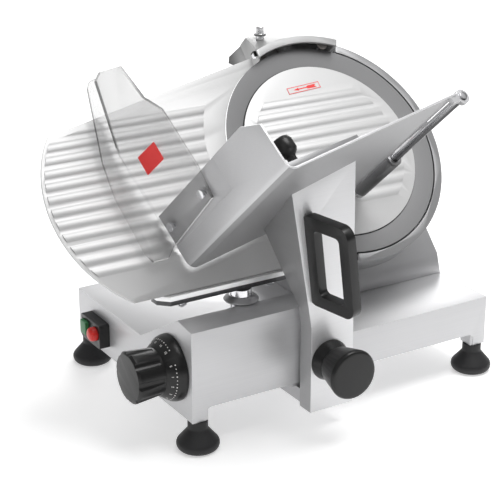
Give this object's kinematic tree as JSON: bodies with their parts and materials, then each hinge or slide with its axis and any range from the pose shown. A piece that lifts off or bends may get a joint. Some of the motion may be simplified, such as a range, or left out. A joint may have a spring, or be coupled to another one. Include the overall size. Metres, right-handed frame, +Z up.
{
  "type": "food slicer",
  "caption": "Gravity-feed electric food slicer: tilted round blade, ribbed thickness plate with dial, sliding carriage with clear guard and pusher, sharpener, rubber feet.",
  "frame": {"origin": "on the table, under the middle of the whole object's box", "axes": "+X along the carriage's travel, to the right for the person who slices; +Y away from that person; +Z up"},
  "size_m": [0.5498, 0.4194, 0.4278],
  "materials": {
    "housing_metal": "satin anodised sheet",
    "plate_metal": "pale anodised plate",
    "cast_metal": "satin casting",
    "blade_steel": "ground with turning marks",
    "plain_steel": "machined",
    "bright_steel": "polished",
    "black_plastic": "semi-gloss moulded",
    "rubber": "matt moulded",
    "clear_plastic": "clear polished sheet",
    "green_plastic": "moulded",
    "red_plastic": "moulded",
    "stone": "bonded abrasive",
    "motor_metal": "painted",
    "bearing_bronze": "machined"
  },
  "bodies": {
    "housing": {"base_housing": "housing_metal", "bottom_cover": "plain_steel", "feet": "rubber", "foot_studs": "plain_steel", "pedestal": "cast_metal", "motor": "motor_metal", "motor_bracket": "plain_steel", "drive_belt": "rubber", "blade_guard": "cast_metal", "hub_bearings": "plain_steel", "slice_deflector": "plain_steel", "cable_gland": "black_plastic", "switch_box": "black_plastic", "bulkhead": "plain_steel", "carriage_rod": "bright_steel", "carriage_rail": "bright_steel", "gauge_rod": "bright_steel", "blade_cover": "plate_metal"},
    "green_button": {"green_button": "green_plastic"},
    "red_button": {"red_button": "red_plastic"},
    "blade_rotor": {"blade": "blade_steel", "blade_hub": "plain_steel", "blade_screws": "plain_steel", "driven_pulley": "cast_metal"},
    "motor_rotor": {"motor_pulley": "plain_steel"},
    "tie_rod": {"tie_rod": "plain_steel", "tie_rod_knob": "black_plastic"},
    "sharpener": {"sharpener_cover": "cast_metal", "sharpener_bracket": "plain_steel", "sharpener_post": "bright_steel"},
    "grinder": {"grinding_button": "bright_steel", "grinding_stone": "stone"},
    "honer": {"honing_rod": "bright_steel", "honing_stone": "stone"},
    "gauge": {"gauge_plate": "plate_metal", "gauge_bar": "cast_metal", "gauge_bolts": "plain_steel", "gauge_post": "bright_steel", "gauge_collar": "cast_metal", "gauge_block": "cast_metal", "scroll_pin": "plain_steel"},
    "dial": {"dial_knob": "black_plastic", "dial_shaft": "plain_steel", "scroll_disc": "bearing_bronze"},
    "carriage": {"food_tray": "housing_metal", "carriage_arm": "housing_metal", "carriage_slide": "cast_metal", "carriage_handle": "black_plastic", "handle_screws": "plain_steel", "clamp_collar": "black_plastic", "tray_guard": "clear_plastic", "guard_screws": "bright_steel", "pusher_rod": "bright_steel"},
    "clamp": {"clamp_knob": "black_plastic", "clamp_stud": "plain_steel"},
    "pusher_slider": {"pusher_bush": "black_plastic"},
    "pusher": {"pusher_arm": "cast_metal", "pusher_plate": "plain_steel", "pusher_knob": "black_plastic"}
  },
  "joints": [
    {"name": "green_press", "type": "slide", "parent": "housing", "child": "green_button", "axis": [1, 0, 0], "range_m": [0, 0.0035], "stiffness_N_per_m": 400, "springref_m": -0.004},
    {"name": "red_press", "type": "slide", "parent": "housing", "child": "red_button", "axis": [1, 0, 0], "range_m": [0, 0.0035], "stiffness_N_per_m": 400, "springref_m": -0.004},
    {"name": "blade_spin", "type": "hinge", "parent": "housing", "child": "blade_rotor", "pos_m": [0.1151, 0.03542, 0.2857], "axis": [0, -0.7314, 0.682], "continuous": true},
    {"name": "motor_spin", "type": "hinge", "parent": "housing", "child": "motor_rotor", "pos_m": [0.1151, -0.02937, 0.21622], "axis": [0, -0.7314, 0.682], "continuous": true},
    {"name": "tie_rod_turn", "type": "hinge", "parent": "housing", "child": "tie_rod", "pos_m": [0.1151, 0.12611, 0.20113], "axis": [0, 0.7314, -0.682], "range_deg": [0, 360]},
    {"name": "sharpener_lift", "type": "slide", "parent": "housing", "child": "sharpener", "axis": [0, 0.682, 0.7314], "range_m": [0, 0.025]},
    {"name": "grinder_press", "type": "slide", "parent": "sharpener", "child": "grinder", "axis": [0, 0, -1], "range_m": [0, 0.003], "stiffness_N_per_m": 400, "springref_m": -0.004},
    {"name": "honer_pull", "type": "slide", "parent": "sharpener", "child": "honer", "axis": [0, 0.7314, -0.682], "range_m": [0, 0.0035], "stiffness_N_per_m": 400, "springref_m": -0.004},
    {"name": "gauge_slide", "type": "slide", "parent": "housing", "child": "gauge", "axis": [0, 1, 0], "range_m": [0, 0.0164]},
    {"name": "dial_turn", "type": "hinge", "parent": "housing", "child": "dial", "pos_m": [-0.1666, -0.05628, 0.092], "axis": [-1, 0, 0], "range_deg": [0, 330]},
    {"name": "carriage_travel", "type": "slide", "parent": "housing", "child": "carriage", "axis": [1, 0, 0], "range_m": [-0.1, 0.15]},
    {"name": "clamp_turn", "type": "hinge", "parent": "carriage", "child": "clamp", "pos_m": [0.0014, -0.13028, 0.09], "axis": [0, -1, 0], "range_deg": [0, 360]},
    {"name": "pusher_travel", "type": "slide", "parent": "carriage", "child": "pusher_slider", "axis": [0.1192, -0.7086, 0.6954], "range_m": [0, 0.13]},
    {"name": "pusher_swing", "type": "hinge", "parent": "pusher_slider", "child": "pusher", "pos_m": [0.12627, -0.06273, 0.28764], "axis": [-0.1192, 0.7086, -0.6954], "range_deg": [0, 120]}
  ],
  "couplings": [
    {"joint": "motor_spin", "follows": "blade_spin", "ratio": 5},
    {"joint": "dial_turn", "follows": "gauge_slide", "rad_per_m": 351.19}
  ]
}
